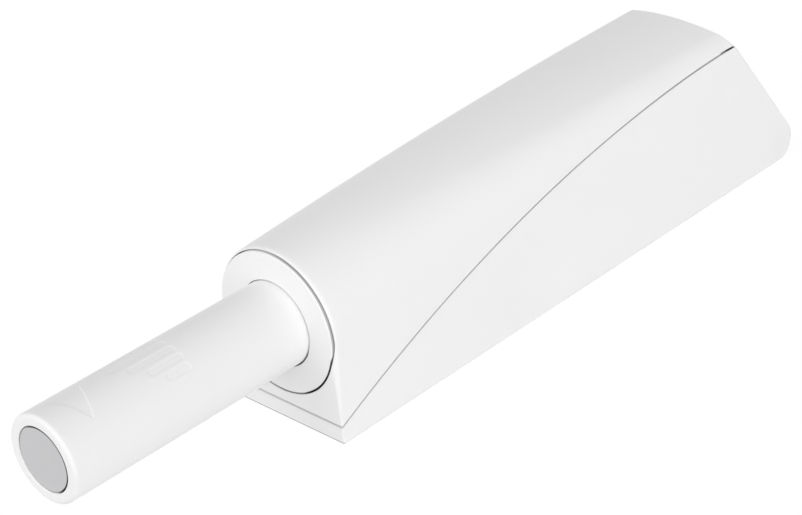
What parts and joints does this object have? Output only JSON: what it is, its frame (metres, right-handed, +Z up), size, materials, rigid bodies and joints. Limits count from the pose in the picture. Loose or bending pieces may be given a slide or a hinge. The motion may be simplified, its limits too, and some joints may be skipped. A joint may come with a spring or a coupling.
{
  "type": "push to open catch",
  "caption": "Push latch for a handleless door: a long round plunger with a magnetic tip slides out of an arched two-part housing that screws down flat.",
  "frame": {"origin": "midway between the two screw holes, on the flat underside of the base", "axes": "+X the way the plunger comes out, +Z up from the mounting surface, +Y across the housing"},
  "size_m": [0.13, 0.02, 0.0244],
  "materials": {
    "housing_white": "fine satin moulded",
    "barrel_white": "fine satin moulded",
    "plunger_white": "smooth satin moulded",
    "slide_grey": "low-friction moulded",
    "buffer_rubber": "soft matte",
    "bright_steel": "bright drawn",
    "magnet_dark": "sintered",
    "disc_grey": "fine satin grey"
  },
  "bodies": {
    "housing": {"base_cradle": "housing_white", "cover_shell": "housing_white", "barrel": "barrel_white", "guide_bush": "slide_grey", "front_buffer": "buffer_rubber", "cam_plate": "slide_grey", "rear_cap": "barrel_white", "spring_rod": "bright_steel", "rear_buffer": "buffer_rubber", "ejector_spring": "bright_steel", "lock_clip": "bright_steel"},
    "carriage": {"carriage": "slide_grey", "thrust_washer": "bright_steel", "follower_spring": "bright_steel"},
    "follower": {"follower_pin": "bright_steel"},
    "clicker": {"click_ring": "slide_grey"},
    "plunger": {"plunger_tube": "plunger_white", "wave_washer": "bright_steel", "circlip": "bright_steel", "tip_cushion": "buffer_rubber", "magnet_cup": "bright_steel", "magnet": "magnet_dark", "strike_disc": "disc_grey"}
  },
  "joints": [
    {"name": "plunger_slide", "type": "slide", "parent": "housing", "child": "carriage", "axis": [-1, 0, 0], "range_m": [0, 0.034], "stiffness_N_per_m": 530, "springref_m": -0.009, "deforming": ["ejector_spring"]},
    {"name": "follower_swing", "type": "hinge", "parent": "carriage", "child": "follower", "pos_m": [0.034, 0, 0.01795], "axis": [0, 0, -1], "range_deg": [0, 9.2]},
    {"name": "adjust_advance", "type": "slide", "parent": "carriage", "child": "clicker", "axis": [1, 0, 0], "range_m": [-0.001, 0.003]},
    {"name": "plunger_turn", "type": "hinge", "parent": "clicker", "child": "plunger", "pos_m": [0.047, 0, 0.0132], "axis": [1, 0, 0], "range_deg": [-90, 270]}
  ],
  "couplings": [
    {"joint": "adjust_advance", "follows": "plunger_turn", "m_per_rad": 0.00063662}
  ]
}
